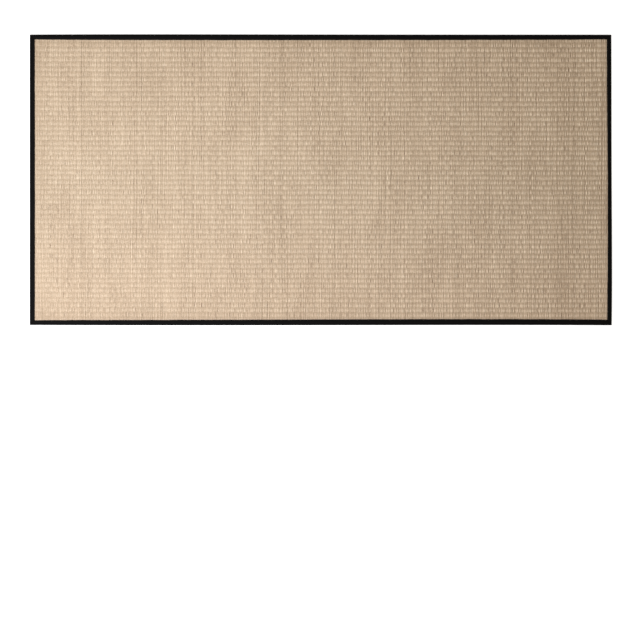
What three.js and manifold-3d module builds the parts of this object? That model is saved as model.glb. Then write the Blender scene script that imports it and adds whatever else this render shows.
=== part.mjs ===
// A tatami mat lying flat: one thin mat of woven rush with its four edges bound in folded black
// tape, the tapes meeting in mitres at the corners. Millimetres, +Z up. The origin is on the floor
// under the middle of the mat. +X runs along its length, and so do the rows of the weave.
import * as THREE from "three";
import { mergeVertices } from "three/addons/utils/BufferGeometryUtils.js";
import Module from "manifold-3d";

const MAT_LENGTH = 1800;
const MAT_WIDTH = 900;
const MAT_THICKNESS = 15;

// The weave: rushes arch over the warp in rows, with a groove between one row and the next.
const ROW_PITCH = 15.17;
const ROW_RISE = 1.2;
const ROW_STEPS = 6;
const CREST_HEIGHT = 14.6;

// The binding: a tape folded round the edge and sewn down through its two laps.
const TAPE_THICKNESS = 1.2;
const SEWN_GAP = 0.3;
const MITRE_GAP = 0.3;
const ROLL_RADIUS = 6;
const FOOT_RADIUS = 4;
const ROLL_STEPS = 6;
const UNDER_LAP = 16;
const WIDEST_LAP = 17.5;
const LAP_SINK = 0.8;
const EDGE_STEPS = 12;

// Corners of the bound mat, in order round it, and how far each lies inside the true rectangle.
const CORNERS = [
  { x: -1, y: -1, insetX: 0, insetY: 0.9 },
  { x: 1, y: -1, insetX: 1.0, insetY: 0 },
  { x: 1, y: 1, insetX: 2.2, insetY: 1.2 },
  { x: -1, y: 1, insetX: 0, insetY: 0.9 },
];

// Each edge from one corner to the next, at five even stations: how far it bows out from a straight
// line between its corners, and how wide the tape laps over the top of the mat.
const EDGES = [
  {
    name: "binding_front",
    stations: [
      { bow: 0, lap: 13.1 },
      { bow: 0.7, lap: 15.1 },
      { bow: 0.2, lap: 16.0 },
      { bow: -0.6, lap: 16.4 },
      { bow: 0, lap: 15.7 },
    ],
  },
  {
    name: "binding_right",
    stations: [
      { bow: 0, lap: 12.6 },
      { bow: 1.3, lap: 12.2 },
      { bow: 0.6, lap: 11.3 },
      { bow: 0.3, lap: 12.4 },
      { bow: 0, lap: 12.8 },
    ],
  },
  {
    name: "binding_back",
    stations: [
      { bow: 0, lap: 13.6 },
      { bow: 0.1, lap: 15.5 },
      { bow: 0.4, lap: 16.4 },
      { bow: 0.9, lap: 16.9 },
      { bow: 0, lap: 14.2 },
    ],
  },
  {
    name: "binding_left",
    stations: [
      { bow: 0, lap: 14.2 },
      { bow: 0, lap: 14.6 },
      { bow: 0, lap: 14.8 },
      { bow: 0, lap: 14.6 },
      { bow: 0, lap: 14.5 },
    ],
  },
];

// Heights and insets of the pressed rim of the mat, which the tape folds round.
const DEEPEST_INSET = Math.max(...CORNERS.flatMap((corner) => [corner.insetX, corner.insetY]));
const RIM_INSET = TAPE_THICKNESS + SEWN_GAP + DEEPEST_INSET;
const RIM_BOTTOM = TAPE_THICKNESS + SEWN_GAP;
const RIM_TOP = MAT_THICKNESS - LAP_SINK - TAPE_THICKNESS - SEWN_GAP;
const RIM_ROUND = 4;
const UNDER_STEP = UNDER_LAP + DEEPEST_INSET + SEWN_GAP;
const SHOULDER_INSET = 18;
const SHOULDER_WIDTH = 14;

// Room that a cutting block needs past what it cuts.
const CUT_ROOM = 5;
const CUT_DEPTH = 40;

const RUSH = new THREE.MeshStandardMaterial({ color: "#c8b297", roughness: 0.7, metalness: 0 });
const BLACK_TAPE = new THREE.MeshStandardMaterial({ color: "#161311", roughness: 0.8, metalness: 0 });

const wasm = await Module();
wasm.setup();

function solidOf(geometry) {
  geometry.deleteAttribute("normal");
  geometry.deleteAttribute("uv");
  const merged = mergeVertices(geometry);
  const mesh = new wasm.Mesh({
    numProp: 3,
    vertProperties: merged.attributes.position.array,
    triVerts: new Uint32Array(merged.index.array),
  });
  return new wasm.Manifold(mesh);
}

function pieceOf(name, solid, material) {
  const { vertProperties, triVerts } = solid.getMesh();
  const geometry = new THREE.BufferGeometry();
  geometry.setAttribute("position", new THREE.BufferAttribute(vertProperties, 3));
  geometry.setIndex(new THREE.BufferAttribute(triVerts, 1));
  geometry.computeVertexNormals();
  const piece = new THREE.Mesh(geometry, material);
  piece.name = name;
  return piece;
}

// An outline in plan made into a block between two heights.
function blockOf(outline, bottom, top) {
  const geometry = new THREE.ExtrudeGeometry(new THREE.Shape(outline), {
    depth: top - bottom,
    bevelEnabled: false,
  });
  return solidOf(geometry.translate(0, 0, bottom));
}

// The top of the mat by how far in from its edge: pressed flat under the tape, then rising on a
// shoulder to the crests of the weave.
function shoulderHeight(inset) {
  const rise = (CREST_HEIGHT - RIM_TOP) / SHOULDER_WIDTH;
  return RIM_TOP + Math.max(0, inset - SHOULDER_INSET) * rise;
}

// The top of the weave by its place across the rows, which have a groove on the middle line.
function rowHeight(across) {
  const turn = (across / ROW_PITCH - 0.5) * Math.PI;
  return CREST_HEIGHT - ROW_RISE * (1 - Math.abs(Math.cos(turn)));
}

// The rim's rounded edge on the right of a section, from the underside up to the top.
function rimPoints(halfSpan) {
  const middle = halfSpan - RIM_INSET - RIM_ROUND;
  const quarter = Math.PI / 2;
  const lower = new THREE.EllipseCurve(middle, RIM_BOTTOM + RIM_ROUND, RIM_ROUND, RIM_ROUND, -quarter, 0);
  const upper = new THREE.EllipseCurve(middle, RIM_TOP - RIM_ROUND, RIM_ROUND, RIM_ROUND, 0, quarter);
  return [...lower.getPoints(ROLL_STEPS), ...upper.getPoints(ROLL_STEPS)];
}

// A whole section of the mat: underside, rims at both ends and the given points along its top.
function sectionOf(halfSpan, underside, topPoints) {
  const step = halfSpan - UNDER_STEP;
  const rim = rimPoints(halfSpan);
  const mirrored = rim.map((point) => new THREE.Vector2(-point.x, point.y)).reverse();
  return new THREE.Shape([
    new THREE.Vector2(-step, underside),
    new THREE.Vector2(step, underside),
    new THREE.Vector2(step, RIM_BOTTOM),
    ...rim,
    ...topPoints,
    ...mirrored,
    new THREE.Vector2(-step, RIM_BOTTOM),
  ]);
}

// The mat is the ribbed section drawn out along the length, cut to the rims and shoulders of its
// two ends by a plain section drawn out across the width.
function makeRushMat() {
  const halfWidth = MAT_WIDTH / 2;
  const field = halfWidth - SHOULDER_INSET;
  const stepLength = ROW_PITCH / ROW_STEPS;
  const stepCount = Math.floor(field / stepLength);
  const ribs = [new THREE.Vector2(field, RIM_TOP)];
  for (let step = stepCount; step >= -stepCount; step -= 1) {
    const across = step * stepLength;
    const height = Math.min(rowHeight(across), shoulderHeight(halfWidth - Math.abs(across)));
    ribs.push(new THREE.Vector2(across, height));
  }
  ribs.push(new THREE.Vector2(-field, RIM_TOP));
  const ribbed = new THREE.ExtrudeGeometry(sectionOf(halfWidth, 0, ribs), {
    depth: MAT_LENGTH,
    bevelEnabled: false,
  });
  ribbed.rotateX(Math.PI / 2);
  ribbed.rotateZ(Math.PI / 2);
  ribbed.translate(-MAT_LENGTH / 2, 0, 0);

  const halfLength = MAT_LENGTH / 2;
  const foot = halfLength - SHOULDER_INSET;
  const brow = foot - 2 * SHOULDER_WIDTH;
  const browHeight = shoulderHeight(SHOULDER_INSET + 2 * SHOULDER_WIDTH);
  const ends = [
    new THREE.Vector2(foot, RIM_TOP),
    new THREE.Vector2(brow, browHeight),
    new THREE.Vector2(-brow, browHeight),
    new THREE.Vector2(-foot, RIM_TOP),
  ];
  const plain = new THREE.ExtrudeGeometry(sectionOf(halfLength, -CUT_ROOM, ends), {
    depth: MAT_WIDTH,
    bevelEnabled: false,
  });
  plain.rotateX(Math.PI / 2);
  plain.translate(0, MAT_WIDTH / 2, 0);
  return pieceOf("rush_mat", solidOf(ribbed).intersect(solidOf(plain)), RUSH);
}

// A point of the tape's section, which the path along the edge turns upright: inset from the
// outer edge, and height above the floor.
function tapePoint(inset, height) {
  return new THREE.Vector2(-height, inset);
}

// One face of the folded tape, at a depth inside it: top lap, roll, foot and under lap.
function tapeFace(depth) {
  const roll = new THREE.EllipseCurve(
    ROLL_RADIUS,
    MAT_THICKNESS - ROLL_RADIUS,
    ROLL_RADIUS - depth,
    ROLL_RADIUS - depth,
    Math.PI / 2,
    Math.PI,
  );
  const foot = new THREE.EllipseCurve(
    FOOT_RADIUS,
    FOOT_RADIUS,
    FOOT_RADIUS - depth,
    FOOT_RADIUS - depth,
    Math.PI,
    Math.PI * 1.5,
  );
  const rounds = [...roll.getPoints(ROLL_STEPS), ...foot.getPoints(ROLL_STEPS)];
  return [
    tapePoint(WIDEST_LAP, MAT_THICKNESS - LAP_SINK - depth),
    ...rounds.map((point) => tapePoint(point.x, point.y)),
    tapePoint(UNDER_LAP, depth),
  ];
}

function cornerPoint(index) {
  const corner = CORNERS[index % CORNERS.length];
  const x = corner.x * (MAT_LENGTH / 2 - corner.insetX);
  const y = corner.y * (MAT_WIDTH / 2 - corner.insetY);
  return new THREE.Vector2(x, y);
}

// One tape: its folded section drawn along the bowed edge, cut to mitres at its two ends and
// trimmed along the uneven line where its top lap stops.
function makeTape(edge, index) {
  const start = cornerPoint(index);
  const end = cornerPoint(index + 1);
  const along = end.clone().sub(start).normalize();
  const inward = new THREE.Vector2(-along.y, along.x);
  const place = (corner, ahead, inset) =>
    corner.clone().addScaledVector(along, ahead).addScaledVector(inward, inset);

  const lastStation = edge.stations.length - 1;
  const stations = edge.stations.map(
    (station, count) => new THREE.Vector3(count / lastStation, station.bow, station.lap),
  );
  const samples = new THREE.CatmullRomCurve3(stations).getPoints(EDGE_STEPS);
  const span = start.distanceTo(end);
  const path = samples.map((sample) => place(start, sample.x * span, -sample.y));
  const lapLine = samples.map((sample) => place(start, sample.x * span, sample.z - sample.y));

  const section = new THREE.Shape([...tapeFace(0), ...tapeFace(TAPE_THICKNESS).reverse()]);
  const folded = new THREE.ExtrudeGeometry(section, {
    steps: EDGE_STEPS,
    extrudePath: new THREE.CatmullRomCurve3(path.map((point) => new THREE.Vector3(point.x, point.y, 0))),
  });

  const back = MITRE_GAP * Math.SQRT1_2;
  const mitres = [
    place(start, back - CUT_ROOM, -CUT_ROOM),
    place(end, CUT_ROOM - back, -CUT_ROOM),
    place(end, -CUT_DEPTH - back, CUT_DEPTH),
    place(start, CUT_DEPTH + back, CUT_DEPTH),
  ];
  const beyondLap = [
    place(start, -CUT_ROOM, stations[0].z),
    ...lapLine,
    place(end, CUT_ROOM, stations[lastStation].z),
    place(end, CUT_ROOM, CUT_DEPTH),
    place(start, -CUT_ROOM, CUT_DEPTH),
  ];
  const tape = solidOf(folded)
    .intersect(blockOf(mitres, -CUT_ROOM, MAT_THICKNESS + CUT_ROOM))
    .subtract(blockOf(beyondLap, MAT_THICKNESS / 2, MAT_THICKNESS + CUT_ROOM));
  return pieceOf(edge.name, tape, BLACK_TAPE);
}

const tatami = new THREE.Group();
tatami.add(makeRushMat());
EDGES.forEach((edge, index) => tatami.add(makeTape(edge, index)));

export default tatami;
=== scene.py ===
import math

import bmesh
import bpy
import numpy as np
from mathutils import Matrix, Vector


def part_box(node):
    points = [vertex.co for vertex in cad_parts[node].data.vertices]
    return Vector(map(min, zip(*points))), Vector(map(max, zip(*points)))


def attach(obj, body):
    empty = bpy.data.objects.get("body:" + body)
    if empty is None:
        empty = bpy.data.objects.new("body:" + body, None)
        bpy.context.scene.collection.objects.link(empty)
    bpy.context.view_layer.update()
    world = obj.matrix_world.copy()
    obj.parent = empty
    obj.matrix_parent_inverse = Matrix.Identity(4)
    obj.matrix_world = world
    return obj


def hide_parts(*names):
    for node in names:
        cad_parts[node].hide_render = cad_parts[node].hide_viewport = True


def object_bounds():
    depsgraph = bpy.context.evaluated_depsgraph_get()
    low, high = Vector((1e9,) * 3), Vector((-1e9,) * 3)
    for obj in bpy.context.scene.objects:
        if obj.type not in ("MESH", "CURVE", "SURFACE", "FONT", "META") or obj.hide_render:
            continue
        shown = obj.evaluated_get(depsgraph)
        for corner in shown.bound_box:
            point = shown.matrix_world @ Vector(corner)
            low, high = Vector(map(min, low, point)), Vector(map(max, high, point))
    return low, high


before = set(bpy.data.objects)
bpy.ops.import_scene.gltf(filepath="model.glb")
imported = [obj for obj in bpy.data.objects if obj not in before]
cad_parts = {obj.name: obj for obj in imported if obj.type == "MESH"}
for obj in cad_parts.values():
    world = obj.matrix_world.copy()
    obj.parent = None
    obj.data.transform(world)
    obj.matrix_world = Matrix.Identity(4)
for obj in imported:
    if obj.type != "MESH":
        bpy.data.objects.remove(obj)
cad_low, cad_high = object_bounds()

# The body of the mat: rush matted into one flat piece and pressed thinner round its rim, where
# the tape folds over it. It lies on the floor on its plain underside. From above it is only the
# dark bed that shows between the rushes of the woven face.
MM = 0.001
BODY_ROUND = 4 * MM
BODY_ROUND_STEPS = 4
BODY_RIM_BOTTOM = 1.5 * MM
BODY_RIM_TOP = 11.2 * MM
BODY_BED = 12.6 * MM
UNDER_STEP = 14.8 * MM
BED_STEP = 30 * MM


def linear(colour):
    """An sRGB hex colour as the linear red, green, blue and alpha that a shader takes."""
    parts = [int(colour[at:at + 2], 16) / 255 for at in (1, 3, 5)]
    return [p / 12.92 if p <= 0.04045 else ((p + 0.055) / 1.055) ** 2.4 for p in parts] + [1.0]


def add_node(material, kind, inputs=None, **settings):
    """Adds a node to a material, with its settings and with what goes into its sockets."""
    node = material.node_tree.nodes.new(kind)
    for name, value in settings.items():
        setattr(node, name, value)
    for socket, value in (inputs or {}).items():
        if isinstance(value, bpy.types.NodeSocket):
            material.node_tree.links.new(value, node.inputs[socket])
        else:
            node.inputs[socket].default_value = value
    return node


def start_material(name):
    """A new material, and its Principled shader."""
    material = bpy.data.materials.new(name)
    material.use_nodes = True
    return material, material.node_tree.nodes["Principled BSDF"]


def place_piece(name, mesh, material):
    """Puts a finished mesh in the scene as a piece that stays with the mat."""
    piece = bpy.data.objects.new(name, mesh)
    bpy.context.scene.collection.objects.link(piece)
    mesh.materials.append(material)
    mesh.shade_smooth()
    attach(piece, "root")
    return piece


def raise_step(bm, face, inset, rise):
    """Draws a face in from its edge and lifts it by a square step."""
    bmesh.ops.inset_region(bm, faces=[face], thickness=inset, use_even_offset=True)
    lifted = bmesh.ops.extrude_discrete_faces(bm, faces=[face])["faces"][0]
    bmesh.ops.translate(bm, verts=lifted.verts, vec=(0, 0, rise))


rush_low, rush_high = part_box("rush_mat")
body_mesh = bpy.data.meshes.new("mat_body")
bm = bmesh.new()
bmesh.ops.create_cube(bm, size=1)
bmesh.ops.scale(
    bm,
    verts=bm.verts,
    vec=(rush_high.x - rush_low.x, rush_high.y - rush_low.y, BODY_RIM_TOP - BODY_RIM_BOTTOM),
)
bmesh.ops.translate(bm, verts=bm.verts, vec=(0, 0, (BODY_RIM_TOP + BODY_RIM_BOTTOM) / 2))
bmesh.ops.bevel(
    bm,
    geom=bm.edges[:],
    affect="EDGES",
    offset=BODY_ROUND,
    segments=BODY_ROUND_STEPS,
    profile=0.5,
    material=-1,
)
bm.normal_update()
under_face = min(bm.faces, key=lambda face: face.normal.z * face.calc_area())
bed_face = max(bm.faces, key=lambda face: face.normal.z * face.calc_area())
raise_step(bm, under_face, UNDER_STEP - BODY_ROUND, -BODY_RIM_BOTTOM)
raise_step(bm, bed_face, BED_STEP - BODY_ROUND, BODY_BED - BODY_RIM_TOP)
bmesh.ops.recalc_face_normals(bm, faces=bm.faces)
bm.to_mesh(body_mesh)
bm.free()

# Matted rush, brown, and painted darker than the woven face as shade for the bed between the
# rushes: streaks along the rushes, and the rows of the weave as shallow rolls in the bump, and as
# painted shade in the colour where the rolls dip.
ROW_PITCH = 15.17 * MM
ROLL_DEPTH = 1.0 * MM
ROLL_GROOVE_SHADE = 0.75
STREAK_WIDTH = 3.2 * MM
STREAK_LENGTH = 120 * MM
STREAK_DEPTH_SHARE = 0.4
NOISE_LOW = 0.3               # nearly all the values of a noise lie between these two
NOISE_HIGH = 0.7
matted_rush, shader = start_material("matted_rush")
spot = add_node(matted_rush, "ShaderNodeTexCoord").outputs["Object"]
spot_parts = add_node(matted_rush, "ShaderNodeSeparateXYZ", {"Vector": spot})
row_turn = add_node(
    matted_rush,
    "ShaderNodeMath",
    {0: spot_parts.outputs["Y"], 1: math.pi / ROW_PITCH},
    operation="MULTIPLY",
)
row_wave = add_node(matted_rush, "ShaderNodeMath", {0: row_turn.outputs[0]}, operation="SINE")
row_roll = add_node(matted_rush, "ShaderNodeMath", {0: row_wave.outputs[0]}, operation="ABSOLUTE")
streak_spot = add_node(
    matted_rush,
    "ShaderNodeMapping",
    {"Vector": spot, "Scale": (1 / STREAK_WIDTH, 1 / STREAK_LENGTH, 1)},
)
streaks = add_node(
    matted_rush,
    "ShaderNodeTexNoise",
    {"Vector": streak_spot.outputs["Vector"], "Scale": 1.0, "Detail": 3.0},
)
streak_colour = add_node(matted_rush, "ShaderNodeValToRGB", {"Fac": streaks.outputs["Fac"]})
streak_colour.color_ramp.elements[0].color = linear("#8d765a")
streak_colour.color_ramp.elements[0].position = NOISE_LOW
streak_colour.color_ramp.elements[1].color = linear("#bda788")
streak_colour.color_ramp.elements[1].position = NOISE_HIGH
# Painted shade: the colour darkens where the rolls dip between the rows.
roll_shade = add_node(
    matted_rush,
    "ShaderNodeMapRange",
    {"Value": row_roll.outputs[0], "To Min": ROLL_GROOVE_SHADE, "To Max": 1.0},
)
shaded_streaks = add_node(
    matted_rush,
    "ShaderNodeMix",
    {"Factor": 1.0, 6: streak_colour.outputs["Color"], 7: roll_shade.outputs["Result"]},
    data_type="RGBA",
    blend_type="MULTIPLY",
)
relief = add_node(
    matted_rush,
    "ShaderNodeMath",
    {0: streaks.outputs["Fac"], 1: STREAK_DEPTH_SHARE, 2: row_roll.outputs[0]},
    operation="MULTIPLY_ADD",
)
rolls = add_node(
    matted_rush,
    "ShaderNodeBump",
    {"Height": relief.outputs[0], "Strength": 0.8, "Distance": ROLL_DEPTH},
)
matted_rush.node_tree.links.new(shaded_streaks.outputs[2], shader.inputs["Base Color"])
matted_rush.node_tree.links.new(rolls.outputs["Normal"], shader.inputs["Normal"])
shader.inputs["Roughness"].default_value = 0.8
shader.inputs["Specular IOR Level"].default_value = 0.25

mat_body = place_piece("mat_body", body_mesh, matted_rush)
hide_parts("rush_mat")

# The woven face: rushes laid side by side across the mat and woven over and under the warp, so
# that each arches over every second row and its neighbours over the rows between. They vary in
# shade, width and height, sway a little, and the binding presses and rubs them beside it.
ROW_LINES = 61
ROW_SKEW = -0.0009            # how far a row leans across the mat, for each metre along it
LINE_WAVERS = ((0.35 * MM, 70 * MM), (0.3 * MM, 21 * MM))       # slow and quick: depth, length
LINE_CHANGE = 0.5             # by how many radians a line's wavers shift from the line before
RUSH_PITCH = 1.6 * MM         # a real rush is about half as wide: this is as fine as can show
RUSH_SETS = 4
SIDE_MARGIN = 3 * MM
END_MARGIN = 6 * MM
CREST_HEIGHT = rush_high.z
PRESSED_HEIGHT = 12.7 * MM
PRESS_START = 18 * MM         # in from the mat's edge, about as far as the tape laps
PRESS_WIDTH = 24 * MM
PRESSED_RISE = 0.35
ARCH_RISE = 1.2 * MM
# Along an arch, from its front end to its back end: places, and heights and widths there.
ARCH_PLACES = np.array([0.0, 0.2, 0.5, 0.8, 1.0])
ARCH_HEIGHTS = np.array([0.0, 0.66, 1.0, 0.66, 0.0])
ARCH_WIDTHS = np.array([0.5, 0.9, 1.0, 0.9, 0.5])
ARCH_RAGGED = 0.5 * MM
RUSH_SIDES = np.array([-1.0, 0.0, 1.0])
RUSH_CROWN = 1.1 * MM
DIPPED_CROWN = 0.5
SWAY = 1.0 * MM
SWAY_LENGTH = 95 * MM
SWAY_TURN = 1.6               # by how many radians the sway shifts to and fro along the mat
SWAY_TURN_LENGTH = 140 * MM
# How much rushes differ as wholes, and how much the single arches of one do besides.
PLACE_SPREADS = {"whole": 0.12 * MM, "single": 0.12 * MM}
LIFT_SPREADS = {"whole": 0.08 * MM, "single": 0.05 * MM}
TILT_SPREADS = {"whole": 0.12 * MM, "single": 0.12 * MM}
FULLNESS = 0.94
FULLNESS_SPREADS = {"whole": 0.10, "single": 0.07}

WEAVE_SEED = 57
random = np.random.default_rng(WEAVE_SEED)
face_length = rush_high.x - rush_low.x - 2 * END_MARGIN
rush_count = RUSH_SETS * round(face_length / RUSH_PITCH / RUSH_SETS)
arch_count = (ROW_LINES - 1) // 2
rush_number = np.arange(rush_count)
rush_place = (rush_number + 0.5) / rush_count * face_length - face_length / 2

# The lines between the rows waver a little, each much as the one before it.
line_phases = np.cumsum(random.normal(0, LINE_CHANGE, (len(LINE_WAVERS), ROW_LINES)), axis=1)


def row_line(line, along):
    """Where the groove of that number runs across the mat, at places along it."""
    across = (line - (ROW_LINES - 1) / 2) * ROW_PITCH + ROW_SKEW * along
    for (depth, length), phase in zip(LINE_WAVERS, line_phases):
        across = across + depth * np.sin(along / length + phase[line])
    return np.clip(across, rush_low.y + SIDE_MARGIN, rush_high.y - SIDE_MARGIN)


def clear_of_tape(along, across, width):
    """How clear of the binding a place is: 0 under the tape, 1 from that width away from it."""
    inset = np.minimum(cad_high[0] - np.abs(along), cad_high[1] - np.abs(across))
    share = np.clip((inset - PRESS_START) / width, 0, 1)
    return share * share * (3 - 2 * share)


def vary(whole, single):
    """A random shift for each arch: what the whole rush has, and what is the arch's own."""
    whole_part = random.normal(0, whole, (rush_count, 1, 1))
    return whole_part + random.normal(0, single, (rush_count, arch_count, 1))


arch_row = rush_number[:, None] % 2 + 2 * np.arange(arch_count)
ragged = random.normal(0, ARCH_RAGGED, (2, rush_count, arch_count))
arch_start = (row_line(arch_row, rush_place[:, None]) + ragged[0])[..., None]
arch_end = (row_line(arch_row + 1, rush_place[:, None]) + ragged[1])[..., None]
across = arch_start + (arch_end - arch_start) * ARCH_PLACES
sway_start = SWAY_TURN * np.sin(rush_place / SWAY_TURN_LENGTH)
sway = SWAY * np.sin(across / SWAY_LENGTH + sway_start[:, None, None])
along = rush_place[:, None, None] + sway + vary(**PLACE_SPREADS)
rush_fullness = random.normal(FULLNESS, FULLNESS_SPREADS["whole"], (rush_count, 1, 1))
arch_fullness = random.normal(1, FULLNESS_SPREADS["single"], (rush_count, arch_count, 1))
half_width = RUSH_PITCH * ARCH_WIDTHS * (rush_fullness * arch_fullness)
open_share = clear_of_tape(along, across, PRESS_WIDTH)
crest = PRESSED_HEIGHT + (CREST_HEIGHT - PRESSED_HEIGHT) * open_share
rise = ARCH_RISE * (PRESSED_RISE + (1 - PRESSED_RISE) * open_share)
lift = vary(**LIFT_SPREADS) * ARCH_HEIGHTS * open_share
middle = crest - rise * (1 - ARCH_HEIGHTS) + lift
crown = RUSH_CROWN * (DIPPED_CROWN + (1 - DIPPED_CROWN) * ARCH_HEIGHTS)
tilt = vary(**TILT_SPREADS) * ARCH_HEIGHTS * open_share

face_points = np.stack(
    np.broadcast_arrays(
        along[..., None] + half_width[..., None] * RUSH_SIDES,
        across[..., None],
        middle[..., None] - crown[:, None] * np.abs(RUSH_SIDES) + tilt[..., None] * RUSH_SIDES,
    ),
    axis=-1,
)

# Each rush is drawn as a pair of stems. The pair has a shade of its own, which drifts along it and
# is set off from those beside it, and the stems differ by an offset that drifts too. Roots lie to
# the front and the back in turn, so rushes pale towards the one side or the other. Both sides of
# the mat are a little redder than its middle, and painted paler there, partly to make up for the
# red and partly as painted light where the key light falls off. An arch carries painted shade on
# its back half and where it dips to the warp, as if lit from its front. From the left end to the
# right the shades spread wider and the painted shade deepens, and the rushes beside the tape are
# darker.
SHADE_KEPT = 0.83             # the share of a drifting shade that the next arch keeps
PAIR_SPREADS = {"whole": 0.28, "drifting": 0.54, "single": 0.19}
PAIR_SET_OFFS = {1: 0.1, 2: 0.2}         # rushes away, and the share of their shade taken off
STEM_SPREADS = {"whole": 0.26, "drifting": 0.74, "single": 0.72}
BOLD_SLOPE = 0.43             # for each metre along the mat
ROOT_FADE = 0.18
ROOT_BALANCE = 0.2            # of the mat's width from the front, where all rushes are equally pale
# Redder towards the front and back, and painted paler there: partly to make up for the red, and
# partly as painted light where the key light falls off.
EDGE_RED_PLACES = (-350 * MM, 0, 300 * MM)      # across the mat, from its front to its back
EDGE_RED_SHARES = (0.9, 0.0, 0.35)
PALE_AND_PAINTED_LIGHT = 0.13
# How much painted shade an arch carries at its five places.
ARCH_PAINTED_SHADE = np.array([0.52, 0.0, 0.3, 0.75, 1.0])
PAINTED_SHADE_SPREAD = 0.12
PAINTED_SHADE_SHARE = 0.37           # how much of the painted shade colour goes in where the shade is full
# The rushes beside the tape are darker, over this width and by this much.
TAPE_DARKENING_WIDTH = 34 * MM
TAPE_DARKENING = 0.4


def drift_along(whole, drifting, single):
    """A value for each arch: what the whole rush has, what drifts along it, and what is its own."""
    drifts = [random.normal(size=rush_count)]
    for _ in range(1, arch_count):
        change = random.normal(size=rush_count)
        drifts.append(SHADE_KEPT * drifts[-1] + math.sqrt(1 - SHADE_KEPT ** 2) * change)
    whole_part = whole * random.normal(size=(rush_count, 1))
    single_part = single * random.normal(size=(rush_count, arch_count))
    return whole_part + drifting * np.stack(drifts, axis=1) + single_part


boldness = 1.0 + BOLD_SLOPE * rush_place[:, None]
pair_shade = boldness * drift_along(**PAIR_SPREADS)
pair_shade = pair_shade - sum(
    share * (np.roll(pair_shade, away, axis=0) + np.roll(pair_shade, -away, axis=0))
    for away, share in PAIR_SET_OFFS.items()
)
root_side = 1 - 2 * (rush_number[:, None] % 2)
pair_shade = pair_shade + ROOT_FADE * root_side * (arch_row / ROW_LINES - ROOT_BALANCE)
edge_red_and_light = np.interp(across, EDGE_RED_PLACES, EDGE_RED_SHARES)
stem_offset = boldness * drift_along(**STEM_SPREADS)
painted_shade_depth = random.normal(1, PAINTED_SHADE_SPREAD, (rush_count, arch_count, 1))
tape_darkened_share = 1 - clear_of_tape(along, across, TAPE_DARKENING_WIDTH)
face_shade = pair_shade[..., None] - TAPE_DARKENING * tape_darkened_share + PALE_AND_PAINTED_LIGHT * edge_red_and_light
face_layers = {
    "shade": face_shade[..., None],
    "redness": edge_red_and_light[..., None],
    "offset": stem_offset[..., None, None],
    "side": RUSH_SIDES + np.zeros((rush_count, 1, 1, 1)),
    # painted shade along each arch, and how much of its colour goes in
    "painted_shade": (ARCH_PAINTED_SHADE * painted_shade_depth)[..., None],
    "groove": PAINTED_SHADE_SHARE * boldness[..., None, None],
}

# Dried rush, combed and woven: pale straw with a faint satin shine. Each stem has its own shade
# between greyish brown and cream, with broad paler and darker bands across many, small flecks, and
# fibres along it, which are drawn a few times wider than real ones so that they show.
BAND_WIDTH = 100 * MM
BAND_LENGTH = 250 * MM
BAND_SHADE = 0.42
FLECK_SIZE = 2.5 * MM
FLECK_SHADE = 0.9
FIBRE_WIDTH = 0.4 * MM
FIBRE_LENGTH = 9 * MM
FIBRE_SHADE = 0.5
FIBRE_DEPTH = 0.2 * MM
STEM_DEPTH = 0.3 * MM
STEM_SPLIT = 0.15             # of a stem's width, on each side of the line between the pair
SHADE_LIMIT = 3.0             # how far a shade goes before it is as pale or as dark as rush gets
PAINTED_SHADE_START = 0.3              # painted shade begins at this value, and is full at the next
PAINTED_SHADE_FULL = 0.5
dried_rush, shader = start_material("dried_rush")
spot = add_node(dried_rush, "ShaderNodeTexCoord").outputs["Object"]
face_values = {
    layer: add_node(dried_rush, "ShaderNodeAttribute", attribute_name=layer).outputs["Fac"]
    for layer in face_layers
}
band_spot = add_node(
    dried_rush,
    "ShaderNodeMapping",
    {"Vector": spot, "Scale": (1 / BAND_WIDTH, 1 / BAND_LENGTH, 1)},
)
bands = add_node(
    dried_rush,
    "ShaderNodeTexNoise",
    {"Vector": band_spot.outputs["Vector"], "Scale": 1.0, "Detail": 4.0, "Roughness": 0.6},
)
flecks = add_node(
    dried_rush,
    "ShaderNodeTexNoise",
    {"Vector": spot, "Scale": 1 / FLECK_SIZE, "Detail": 1.0},
)
fibre_spot = add_node(
    dried_rush,
    "ShaderNodeMapping",
    {"Vector": spot, "Scale": (1 / FIBRE_WIDTH, 1 / FIBRE_LENGTH, 1 / FIBRE_LENGTH)},
)
fibres = add_node(
    dried_rush,
    "ShaderNodeTexNoise",
    {"Vector": fibre_spot.outputs["Vector"], "Scale": 1.0, "Detail": 2.0},
)
stem_side = add_node(
    dried_rush,
    "ShaderNodeMapRange",
    {"Value": face_values["side"], "From Min": -STEM_SPLIT, "From Max": STEM_SPLIT, "To Min": -1.0},
)
whole_shade = add_node(
    dried_rush,
    "ShaderNodeMath",
    {0: face_values["offset"], 1: stem_side.outputs["Result"], 2: face_values["shade"]},
    operation="MULTIPLY_ADD",
)
for noise, reach in ((bands, BAND_SHADE), (flecks, FLECK_SHADE), (fibres, FIBRE_SHADE)):
    noise_shade = add_node(
        dried_rush,
        "ShaderNodeMapRange",
        {
            "Value": noise.outputs["Fac"],
            "From Min": NOISE_LOW,
            "From Max": NOISE_HIGH,
            "To Min": -reach,
            "To Max": reach,
        },
    )
    whole_shade = add_node(
        dried_rush,
        "ShaderNodeMath",
        {0: whole_shade.outputs[0], 1: noise_shade.outputs["Result"]},
        operation="ADD",
    )
shade_share = add_node(
    dried_rush,
    "ShaderNodeMapRange",
    {"Value": whole_shade.outputs[0], "From Min": -SHADE_LIMIT, "From Max": SHADE_LIMIT},
)
straw = add_node(dried_rush, "ShaderNodeValToRGB", {"Fac": shade_share.outputs["Result"]})
straw.color_ramp.elements[0].color = linear("#725940")
straw.color_ramp.elements[1].color = linear("#e5d4b9")
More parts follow.
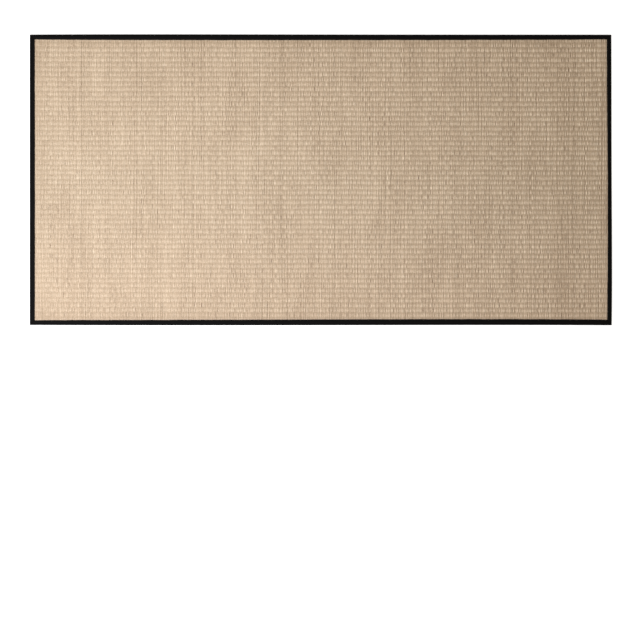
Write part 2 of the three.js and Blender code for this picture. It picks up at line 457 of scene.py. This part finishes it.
straw.color_ramp.elements.new(0.5).color = linear("#c5af93")
# Painted shade: where an arch is marked shaded, the straw is mixed towards a darker brown.
painted_shade_mix = add_node(
    dried_rush,
    "ShaderNodeMapRange",
    {
        "Value": face_values["painted_shade"],
        "From Min": PAINTED_SHADE_START,
        "From Max": PAINTED_SHADE_FULL,
        "To Max": face_values["groove"],
    },
    interpolation_type="SMOOTHSTEP",
)
shaded_straw = add_node(
    dried_rush,
    "ShaderNodeMix",
    {"Factor": painted_shade_mix.outputs["Result"], 6: straw.outputs["Color"], 7: linear("#a1896d")},
    data_type="RGBA",
)
reddened = add_node(
    dried_rush,
    "ShaderNodeMix",
    {"Factor": face_values["redness"], 6: shaded_straw.outputs[2], 7: linear("#fffcfb")},
    data_type="RGBA",
    blend_type="MULTIPLY",
)
side_turn = add_node(
    dried_rush,
    "ShaderNodeMath",
    {0: face_values["side"], 1: math.pi},
    operation="MULTIPLY",
)
side_wave = add_node(dried_rush, "ShaderNodeMath", {0: side_turn.outputs[0]}, operation="SINE")
stems = add_node(dried_rush, "ShaderNodeMath", {0: side_wave.outputs[0]}, operation="ABSOLUTE")
stem_relief = add_node(
    dried_rush,
    "ShaderNodeBump",
    {"Height": stems.outputs[0], "Strength": 0.6, "Distance": STEM_DEPTH},
)
fibre_relief = add_node(
    dried_rush,
    "ShaderNodeBump",
    {
        "Height": fibres.outputs["Fac"],
        "Strength": 0.35,
        "Distance": FIBRE_DEPTH,
        "Normal": stem_relief.outputs["Normal"],
    },
)
satin = add_node(
    dried_rush,
    "ShaderNodeMapRange",
    {"Value": fibres.outputs["Fac"], "To Min": 0.4, "To Max": 0.6},
)
dried_rush.node_tree.links.new(reddened.outputs[2], shader.inputs["Base Color"])
dried_rush.node_tree.links.new(satin.outputs["Result"], shader.inputs["Roughness"])
dried_rush.node_tree.links.new(fibre_relief.outputs["Normal"], shader.inputs["Normal"])
shader.inputs["Specular IOR Level"].default_value = 0.5

COLUMN_HALF = 0.4             # of a rush's column in the bake map, which keeps it off the next


def join_rushes(name, points, layers):
    """One mesh of a set of rushes. Its bake map gives each rush a column of its own."""
    grid = points.shape[:-1]
    corner = np.arange(points.size // 3).reshape(grid)
    near, far = corner[:, :, :-1], corner[:, :, 1:]
    over = near[..., :-1], near[..., 1:], far[..., 1:], far[..., :-1]
    last, first = corner[:, :-1, -1], corner[:, 1:, 0]
    under = last[..., :-1], last[..., 1:], first[..., 1:], first[..., :-1]
    faces = np.concatenate([np.stack(quads, axis=-1).reshape(-1, 4) for quads in (over, under)])
    mesh = bpy.data.meshes.new(name)
    mesh.from_pydata(points.reshape(-1, 3), [], faces)
    for layer, values in layers.items():
        attribute = mesh.attributes.new(layer, "FLOAT", "POINT")
        attribute.data.foreach_set("value", np.broadcast_to(values, grid).ravel())
    column = np.arange(len(points))[:, None, None, None] + 0.5 + COLUMN_HALF * RUSH_SIDES
    columns = np.broadcast_to(column / len(points), grid)
    run = points[..., 1] / (2 * cad_high[1]) + 0.5
    map_place = np.stack([columns, run], axis=-1).reshape(-1, 2)
    bake_map = mesh.uv_layers.new(name="OFBake")
    bake_map.uv.foreach_set("vector", map_place[faces.ravel()].ravel())
    return mesh


for number in range(RUSH_SETS):
    name = f"rushes_{number + 1}"
    rushes = slice(number * rush_count // RUSH_SETS, (number + 1) * rush_count // RUSH_SETS)
    set_layers = {layer: values[rushes] for layer, values in face_layers.items()}
    set_mesh = join_rushes(name, face_points[rushes], set_layers)
    place_piece(name, set_mesh, dried_rush)

# The binding: close-woven black cotton tape, one length to an edge, folded round the rim of the
# mat and sewn down through its two laps. Its ends are turned in to mitres at the corners, and its
# edge over the rush wavers, as the tape was guided by hand.
TAPE_THICKNESS = 1.2 * MM
TAPE_STEP = 8 * MM
MAT_TOP = cad_high[2]
UNDER_LAP = 16 * MM
UNDER_STEPS = 3
FOOT_RADIUS = 4 * MM
FOOT_STEPS = 5
ROLL_RADIUS = 6 * MM
ROLL_STEPS = 8
LAP_SLOPE = 0.8 / 11.5        # the lap falls 0.8 mm in 11.5 mm, from the roll to the rush
LAP_EASE = 2.0 * MM           # added to the measured laps, because black edges render thin
LAP_WAVER = 0.12 * MM
LAP_PUFF = 0.2 * MM
PUFF_ROWS = 4
PUFF_WAVER = 0.5
WAVER_WINDOW = 17             # points that a waver is averaged over, to find its slow drift
SEAM_INSET = 2.6 * MM
SEAM_WIDTH = 0.9 * MM
SEAM_DIP = 0.3 * MM
EDGE_ROUND = 0.4 * MM
EDGE_ROUND_STEPS = 2
EDGE_ANGLE = math.radians(50)
EDGE_DIP = 0.15 * MM
EDGE_ROWS = 3
LAP_ROWS = PUFF_ROWS + 1 + EDGE_ROWS
FOLD_STEPS = UNDER_STEPS + FOOT_STEPS + ROLL_STEPS + LAP_ROWS + 2       # one less than its points
SEAM_ROW = FOLD_STEPS - EDGE_ROWS
MAP_ROWS = 6                  # a tape is cut into so many lengths in the bake map
MAP_MARGIN = 0.03
# For each corner in turn, from the front left: how far in from the solids' box it is, in mm.
CORNER_INSETS = ((0, 0.9), (1.0, 0), (2.2, 1.2), (0, 0.9))
CORNER_SIDES = ((-1, -1), (1, -1), (1, 1), (-1, 1))
STATIONS = np.linspace(0, 1, 5)
# For each edge in turn: its name, how far it bows out at five stations, and its laps there, in mm.
EDGES = (
    ("front", (0, 0.7, 0.2, -0.6, 0), (13.1, 15.1, 16.0, 16.4, 15.7)),
    ("right", (0, 1.3, 0.6, 0.3, 0), (12.6, 12.2, 11.3, 12.4, 12.8)),
    ("back", (0, 0.1, 0.4, 0.9, 0), (13.6, 15.5, 16.4, 16.9, 14.2)),
    ("left", (0, 0, 0, 0, 0), (14.2, 14.6, 14.8, 14.6, 14.5)),
)
corners = [
    np.array([sides[0] * (cad_high[0] - inset[0] * MM), sides[1] * (cad_high[1] - inset[1] * MM)])
    for sides, inset in zip(CORNER_SIDES, CORNER_INSETS)
]

# Below the roll the tapes meet at half a right angle, and above it from corner to corner of their
# laps.
lap_share = np.zeros(FOLD_STEPS + 1)
lap_share[-LAP_ROWS:] = 1
lap_share[-LAP_ROWS - ROLL_STEPS - 1:-LAP_ROWS] = np.linspace(0, 1, ROLL_STEPS + 1)


def quarter(radius, height, start, end, steps):
    """Points on a quarter turn whose middle is one radius in from the edge: inset and height."""
    turn = np.radians(np.linspace(start, end, steps + 1))
    return np.stack([radius + radius * np.cos(turn), height + radius * np.sin(turn)], axis=1)


def fold_line(lap, puff):
    """The tape's outer face in section, from its edge below to its edge above: inset and height."""
    under_insets = np.linspace(UNDER_LAP, FOOT_RADIUS, UNDER_STEPS + 1)[:-1]
    under = np.stack([under_insets, np.zeros(UNDER_STEPS)], axis=1)
    foot = quarter(FOOT_RADIUS, FOOT_RADIUS, 270, 180, FOOT_STEPS)
    rim = np.array([[0, (FOOT_RADIUS + MAT_TOP - ROLL_RADIUS) / 2]])
    roll = quarter(ROLL_RADIUS, MAT_TOP - ROLL_RADIUS, 180, 90, ROLL_STEPS)
    seam = lap - SEAM_INSET
    puffed = np.linspace(ROLL_RADIUS, seam - SEAM_WIDTH, PUFF_ROWS + 1)[1:]
    insets = np.array([*puffed, seam, seam + SEAM_WIDTH, lap - EDGE_ROUND, lap])
    dips = np.array([-puff / 2, -puff, -puff / 2, 0, SEAM_DIP, 0, 0, EDGE_DIP])
    top = np.stack([insets, MAT_TOP - (insets - ROLL_RADIUS) * LAP_SLOPE - dips], axis=1)
    return np.concatenate([under, foot, rim, roll, top])


def along_edge(measures, shares):
    """A smooth line through measures in mm at the stations of an edge."""
    curve = np.polyfit(STATIONS, np.array(measures) * MM, len(STATIONS) - 1)
    return np.polyval(curve, shares)


def steady(waver):
    """A waver with its slow drift taken out."""
    padded = np.pad(waver, WAVER_WINDOW // 2, mode="edge")
    return waver - np.convolve(padded, np.ones(WAVER_WINDOW) / WAVER_WINDOW, mode="valid")


def fold_tape(name, start, end, bows, laps, met_laps):
    """Folds a flat length of tape round its edge. Gives its mesh, its seam line and its flat size."""
    span = float(np.linalg.norm(end - start))
    ahead = (end - start) / span
    inward = np.array([-ahead[1], ahead[0]])
    steps = MAP_ROWS * round(span / TAPE_STEP / MAP_ROWS)
    shares = np.linspace(0, 1, steps + 1)
    bow = along_edge(bows, shares)
    lap_waver, puff_waver = np.cumsum(random.normal(0, 1, (2, steps + 1)), axis=1)
    lap = along_edge(laps, shares) + LAP_EASE + LAP_WAVER * steady(lap_waver)
    puff = LAP_PUFF * np.clip(1 + PUFF_WAVER * steady(puff_waver), 0, 2)
    folds = np.stack([fold_line(*place) for place in zip(lap, puff)])
    legs = np.linalg.norm(np.diff(folds, axis=1), axis=2)
    runs = np.concatenate([np.zeros((steps + 1, 1)), np.cumsum(legs, axis=1)], axis=1)
    rooms = []
    for own_lap, met_lap in zip((laps[0], laps[-1]), met_laps):
        slant = (met_lap + LAP_EASE / MM) / (own_lap + LAP_EASE / MM)
        rooms.append(folds[..., 0] * (1 + lap_share * (slant - 1)))
    forward = rooms[0] + shares[:, None] * (span - rooms[0] - rooms[1])
    plan = start + forward[..., None] * ahead + (folds[..., :1] - bow[:, None, None]) * inward
    points = np.concatenate([plan, folds[..., 1:]], axis=-1)

    bm = bmesh.new()
    bmesh.ops.create_grid(bm, x_segments=steps, y_segments=FOLD_STEPS, size=0.5)
    thread_map = bm.loops.layers.uv.new("threads")
    bake_map = bm.loops.layers.uv.new("OFBake")
    for face in bm.faces:
        row = int((face.calc_center_median().x + 0.5) * MAP_ROWS)
        for loop in face.loops:
            share, around = loop.vert.co.x + 0.5, loop.vert.co.y + 0.5
            at = round(share * steps), round(around * FOLD_STEPS)
            map_height = row + MAP_MARGIN + (1 - 2 * MAP_MARGIN) * around
            loop[thread_map].uv = (share * span, runs[at])
            loop[bake_map].uv = (share * MAP_ROWS - row, map_height / MAP_ROWS)
    for vert in bm.verts:
        at = round((vert.co.x + 0.5) * steps), round((vert.co.y + 0.5) * FOLD_STEPS)
        vert.co = points[at]
    mesh = bpy.data.meshes.new(name)
    bm.to_mesh(mesh)
    bm.free()
    return mesh, points[:, SEAM_ROW], float(runs[:, -1].mean()), span


# Black cotton: matt and close plain weave, with a little lint that is barely paler. The threads
# are drawn at 1 mm, twice their real spacing, so that they show.
THREAD_PITCH = 1.0 * MM
THREAD_DEPTH = 0.2 * MM
LINT_SIZE = 6 * MM
black_cotton, shader = start_material("black_cotton")
threads = add_node(black_cotton, "ShaderNodeUVMap", uv_map="threads").outputs["UV"]
thread_parts = add_node(black_cotton, "ShaderNodeSeparateXYZ", {"Vector": threads})
waves = []
for part in ("X", "Y"):
    turn = add_node(
        black_cotton,
        "ShaderNodeMath",
        {0: thread_parts.outputs[part], 1: math.pi / THREAD_PITCH},
        operation="MULTIPLY",
    )
    waves.append(add_node(black_cotton, "ShaderNodeMath", {0: turn.outputs[0]}, operation="SINE"))
weave = add_node(
    black_cotton,
    "ShaderNodeMath",
    {0: waves[0].outputs[0], 1: waves[1].outputs[0]},
    operation="MULTIPLY",
)
lint = add_node(
    black_cotton,
    "ShaderNodeTexNoise",
    {"Vector": threads, "Scale": 1 / LINT_SIZE, "Detail": 4.0, "Roughness": 0.65},
)
cotton_colour = add_node(black_cotton, "ShaderNodeValToRGB", {"Fac": lint.outputs["Fac"]})
cotton_colour.color_ramp.elements[0].color = linear("#040303")
cotton_colour.color_ramp.elements[0].position = 0.35
cotton_colour.color_ramp.elements[1].color = linear("#090807")
cotton_colour.color_ramp.elements[1].position = 0.75
thread_relief = add_node(
    black_cotton,
    "ShaderNodeBump",
    {"Height": weave.outputs[0], "Strength": 0.4, "Distance": THREAD_DEPTH},
)
dull = add_node(
    black_cotton,
    "ShaderNodeMapRange",
    {"Value": weave.outputs[0], "From Min": -1.0, "To Min": 0.62, "To Max": 0.5},
)
black_cotton.node_tree.links.new(cotton_colour.outputs["Color"], shader.inputs["Base Color"])
black_cotton.node_tree.links.new(dull.outputs["Result"], shader.inputs["Roughness"])
black_cotton.node_tree.links.new(thread_relief.outputs["Normal"], shader.inputs["Normal"])
shader.inputs["Specular IOR Level"].default_value = 0.05

# The seam along each tape: lockstitch in black thread, each stitch a short bead of thread that
# dips into the tape at both ends. Each edge in turn has its tape folded and then sewn down.
STITCH_PITCH = 5.0 * MM
STITCH_LENGTH = 4.0 * MM
STITCH_RADIUS = 0.42 * MM
STITCH_SINK = 0.7             # a stitch stands up where it is rounder than this, and else dips
STITCH_PLACES = np.array([-1.0, -0.72, 0.0, 0.72, 1.0])
STITCH_ROUNDS = np.array([0.25, 0.8, 1.0, 0.8, 0.25])
STITCH_TURNS = np.radians(np.array([0, 60, 120, 180, 240, 300]))

# Black polyester thread: smoother than the tape and a little paler, its plies a faint mottle.
PLY_SIZE = 1.2 * MM
black_thread, shader = start_material("black_thread")
spot = add_node(black_thread, "ShaderNodeTexCoord").outputs["Object"]
plies = add_node(
    black_thread,
    "ShaderNodeTexNoise",
    {"Vector": spot, "Scale": 1 / PLY_SIZE, "Detail": 2.0},
)
thread_colour = add_node(black_thread, "ShaderNodeValToRGB", {"Fac": plies.outputs["Fac"]})
thread_colour.color_ramp.elements[0].color = linear("#100e0d")
thread_colour.color_ramp.elements[1].color = linear("#2a2624")
black_thread.node_tree.links.new(thread_colour.outputs["Color"], shader.inputs["Base Color"])
shader.inputs["Roughness"].default_value = 0.5
shader.inputs["Specular IOR Level"].default_value = 0.25


def sew_seam(name, seam):
    """A row of stitches along a seam line, joined into one mesh."""
    legs = np.linalg.norm(np.diff(seam, axis=0), axis=1)
    distance = np.concatenate([[0], np.cumsum(legs)])
    middles = np.arange(STITCH_PITCH, distance[-1] - STITCH_PITCH, STITCH_PITCH)
    centre, beyond = (
        np.stack([np.interp(places, distance, part) for part in seam.T], axis=1)
        for places in (middles, middles + MM)
    )
    ahead = (beyond - centre) / np.linalg.norm(beyond - centre, axis=1)[:, None]
    aside = np.cross([0, 0, 1], ahead)
    reach = STITCH_PLACES * STITCH_LENGTH / 2
    girth = STITCH_RADIUS * STITCH_ROUNDS
    sink = (STITCH_ROUNDS - STITCH_SINK) * STITCH_RADIUS
    points = centre[:, None, None] + reach[:, None, None] * ahead[:, None, None]
    points = points + (girth[:, None] * np.cos(STITCH_TURNS))[..., None] * aside[:, None, None]
    upward = girth[:, None] * np.sin(STITCH_TURNS) + sink[:, None]
    points = points + upward[..., None] * np.array([0, 0, 1.0])
    corner = np.arange(points.size // 3).reshape(points.shape[:-1])
    after = np.roll(corner, -1, axis=2)
    wall = np.stack([corner[:, :-1], after[:, :-1], after[:, 1:], corner[:, 1:]], axis=-1)
    ends = [list(ring) for ring in corner[:, 0, ::-1]] + [list(ring) for ring in corner[:, -1]]
    mesh = bpy.data.meshes.new(name)
    mesh.from_pydata(points.reshape(-1, 3), [], wall.reshape(-1, 4).tolist() + ends)
    return mesh


for number, (edge, bows, laps) in enumerate(EDGES):
    start, end = corners[number], corners[(number + 1) % len(corners)]
    met_laps = EDGES[number - 1][2][-1], EDGES[(number + 1) % len(EDGES)][2][0]
    tape_name = f"tape_{edge}"
    tape_mesh, seam, cut_width, cut_length = fold_tape(tape_name, start, end, bows, laps, met_laps)
    tape = place_piece(tape_name, tape_mesh, black_cotton)
    thickness = tape.modifiers.new("thickness", "SOLIDIFY")
    thickness.thickness = TAPE_THICKNESS
    thickness.offset = -1
    soft_edges = tape.modifiers.new("soft_edges", "BEVEL")
    soft_edges.width = EDGE_ROUND
    soft_edges.segments = EDGE_ROUND_STEPS
    soft_edges.limit_method = "ANGLE"
    soft_edges.angle_limit = EDGE_ANGLE
    seam_name = f"stitches_{edge}"
    stitches = place_piece(seam_name, sew_seam(seam_name, seam), black_thread)
    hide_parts(f"binding_{edge}")

# The stage: a plain white floor that glows a little, a large soft light on the left that falls off
# along the mat, an even warm white surround, and a camera that looks straight down, as high as a
# copy stand would hold it.
FLOOR_SIZE = 30.0
FLOOR_GLOW = 0.65
SURROUND_STRENGTH = 0.628
KEY_POWER = 42.4
KEY_SIZE = (1.2, 1.4)
KEY_PLACE = (-0.98, -0.45, 1.8)
KEY_TURN = (math.radians(10), math.radians(-15), 0)
# In pixels of the photo: its side, and the length and the middle of the mat in it.
PHOTO_SIDE = 640
PHOTO_MAT_LENGTH = 582.3
PHOTO_MAT_MIDDLE = (320.9, 179.8)
CAMERA_HEIGHT = 6.0

floor_mesh = bpy.data.meshes.new("floor")
bm = bmesh.new()
bmesh.ops.create_grid(bm, x_segments=1, y_segments=1, size=FLOOR_SIZE / 2)
bm.to_mesh(floor_mesh)
bm.free()
floor = bpy.data.objects.new("floor", floor_mesh)
bpy.context.scene.collection.objects.link(floor)
# White painted board: flat and matt, so that nothing of the lights shows in it.
white_floor, shader = start_material("white_floor")
shader.inputs["Base Color"].default_value = linear("#f4f4f4")
shader.inputs["Roughness"].default_value = 0.9
shader.inputs["Specular IOR Level"].default_value = 0.1
shader.inputs["Emission Color"].default_value = (1, 1, 1, 1)
shader.inputs["Emission Strength"].default_value = FLOOR_GLOW
floor_mesh.materials.append(white_floor)

scene = bpy.context.scene
scene.world = bpy.data.worlds.new("surround")
scene.world.use_nodes = True
surround = scene.world.node_tree.nodes["Background"]
surround.inputs["Color"].default_value = linear("#fff9ef")
surround.inputs["Strength"].default_value = SURROUND_STRENGTH
scene.view_settings.view_transform = "Standard"

key_data = bpy.data.lights.new("key", "AREA")
key_data.shape = "RECTANGLE"
key_data.size, key_data.size_y = KEY_SIZE
key_data.energy = KEY_POWER
key_data.color = linear("#f1f5ff")[:3]
key = bpy.data.objects.new("key", key_data)
key.location = KEY_PLACE
key.rotation_euler = KEY_TURN
scene.collection.objects.link(key)

pixel = 2 * cad_high[0] / PHOTO_MAT_LENGTH
camera_data = bpy.data.cameras.new("camera")
camera_data.lens = camera_data.sensor_width * CAMERA_HEIGHT / (PHOTO_SIDE * pixel)
camera = bpy.data.objects.new("camera", camera_data)
camera.location = (
    (PHOTO_SIDE / 2 - PHOTO_MAT_MIDDLE[0]) * pixel,
    (PHOTO_MAT_MIDDLE[1] - PHOTO_SIDE / 2) * pixel,
    MAT_TOP - ROLL_RADIUS + CAMERA_HEIGHT,
)
scene.collection.objects.link(camera)
scene.camera = camera
